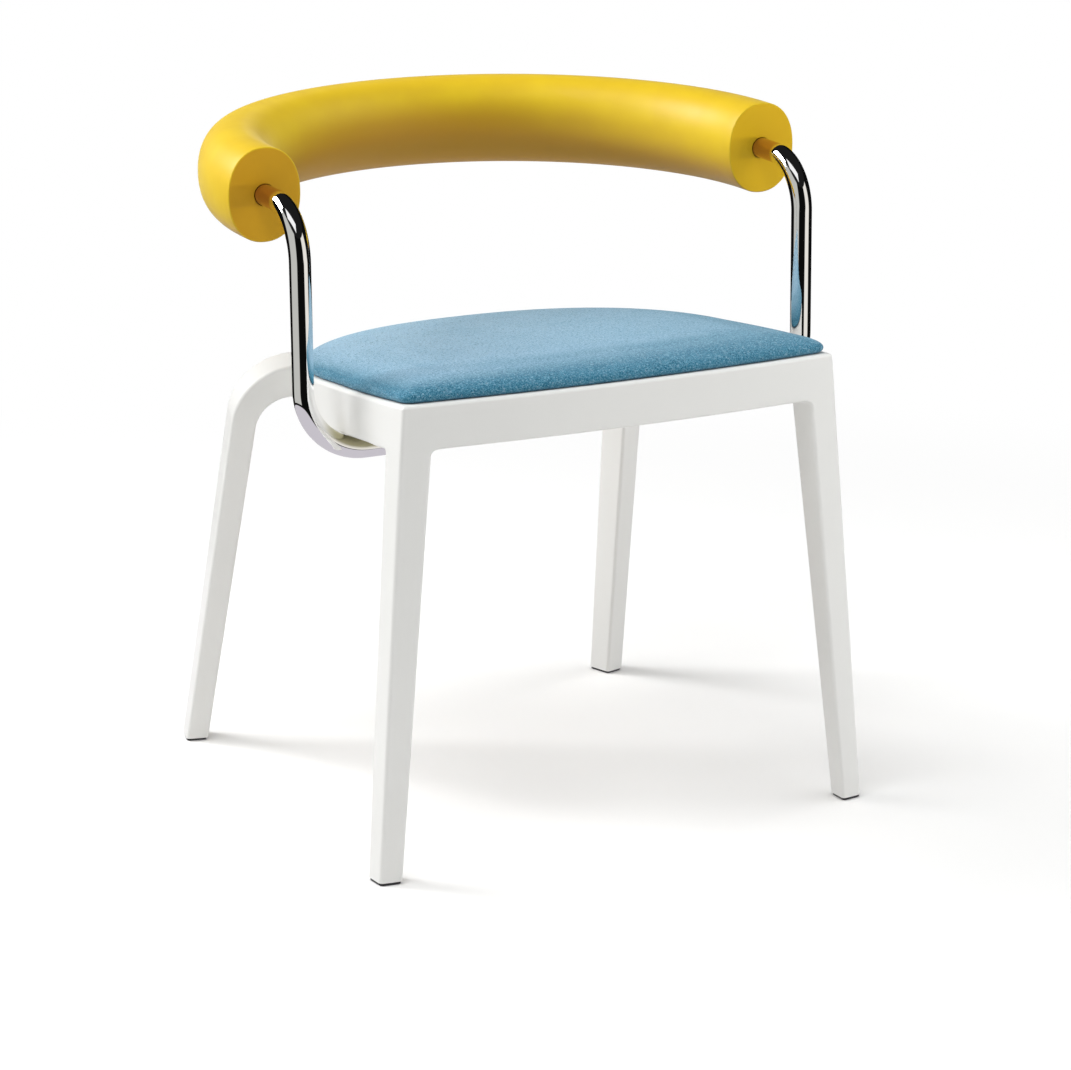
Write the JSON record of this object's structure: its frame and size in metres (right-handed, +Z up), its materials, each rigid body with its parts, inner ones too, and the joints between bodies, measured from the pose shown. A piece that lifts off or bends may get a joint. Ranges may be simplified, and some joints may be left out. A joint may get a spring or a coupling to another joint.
{
  "type": "armchair",
  "caption": "Rigid armchair: white moulded frame with splayed legs, a padded D-shaped seat, and a bent chromed tube that carries a thick foam roll as arms and back.",
  "frame": {"origin": "on the floor under the middle of the chair's overall box", "axes": "+Z up, -Y towards the front of the seat, +X to the side that is on the right for someone who faces the chair"},
  "size_m": [0.6, 0.5314, 0.659],
  "materials": {
    "white_moulding": "satin-gloss moulded plastic",
    "dark_nylon": "matt moulded nylon",
    "grey_nylon": "matt moulded nylon",
    "blue_fabric": "heathered woven wool blend, light and dark blue yarns",
    "pad_foam": "open-cell cut foam",
    "plywood": "raw plywood",
    "zinc_steel": "zinc plated",
    "brass_insert": "turned",
    "chromed_tube": "polished chrome plate",
    "yellow_foam": "satin integral-skin foam"
  },
  "bodies": {
    "root": {"seat_frame": "white_moulding", "foot_glide_front_right": "dark_nylon", "foot_glide_rear_right": "dark_nylon", "foot_glide_front_left": "dark_nylon", "foot_glide_rear_left": "dark_nylon", "seat_cover": "blue_fabric", "seat_foam": "pad_foam", "seat_board": "plywood", "board_screw_front_right": "zinc_steel", "board_screw_rear_right": "zinc_steel", "board_screw_front_left": "zinc_steel", "board_screw_rear_left": "zinc_steel", "board_nut_front_right": "zinc_steel", "board_nut_rear_right": "zinc_steel", "board_nut_front_left": "zinc_steel", "board_nut_rear_left": "zinc_steel", "arm_tube": "chromed_tube", "back_roll": "yellow_foam", "arm_bolt_right_outer": "zinc_steel", "arm_bolt_right_inner": "zinc_steel", "arm_bolt_left_outer": "zinc_steel", "arm_bolt_left_inner": "zinc_steel", "arm_insert_right_outer": "brass_insert", "arm_insert_right_inner": "brass_insert", "arm_insert_left_outer": "brass_insert", "arm_insert_left_inner": "brass_insert", "tube_saddle_right": "grey_nylon", "tube_saddle_left": "grey_nylon", "tube_plug_right": "dark_nylon", "tube_plug_left": "dark_nylon"}
  },
  "joints": []
}
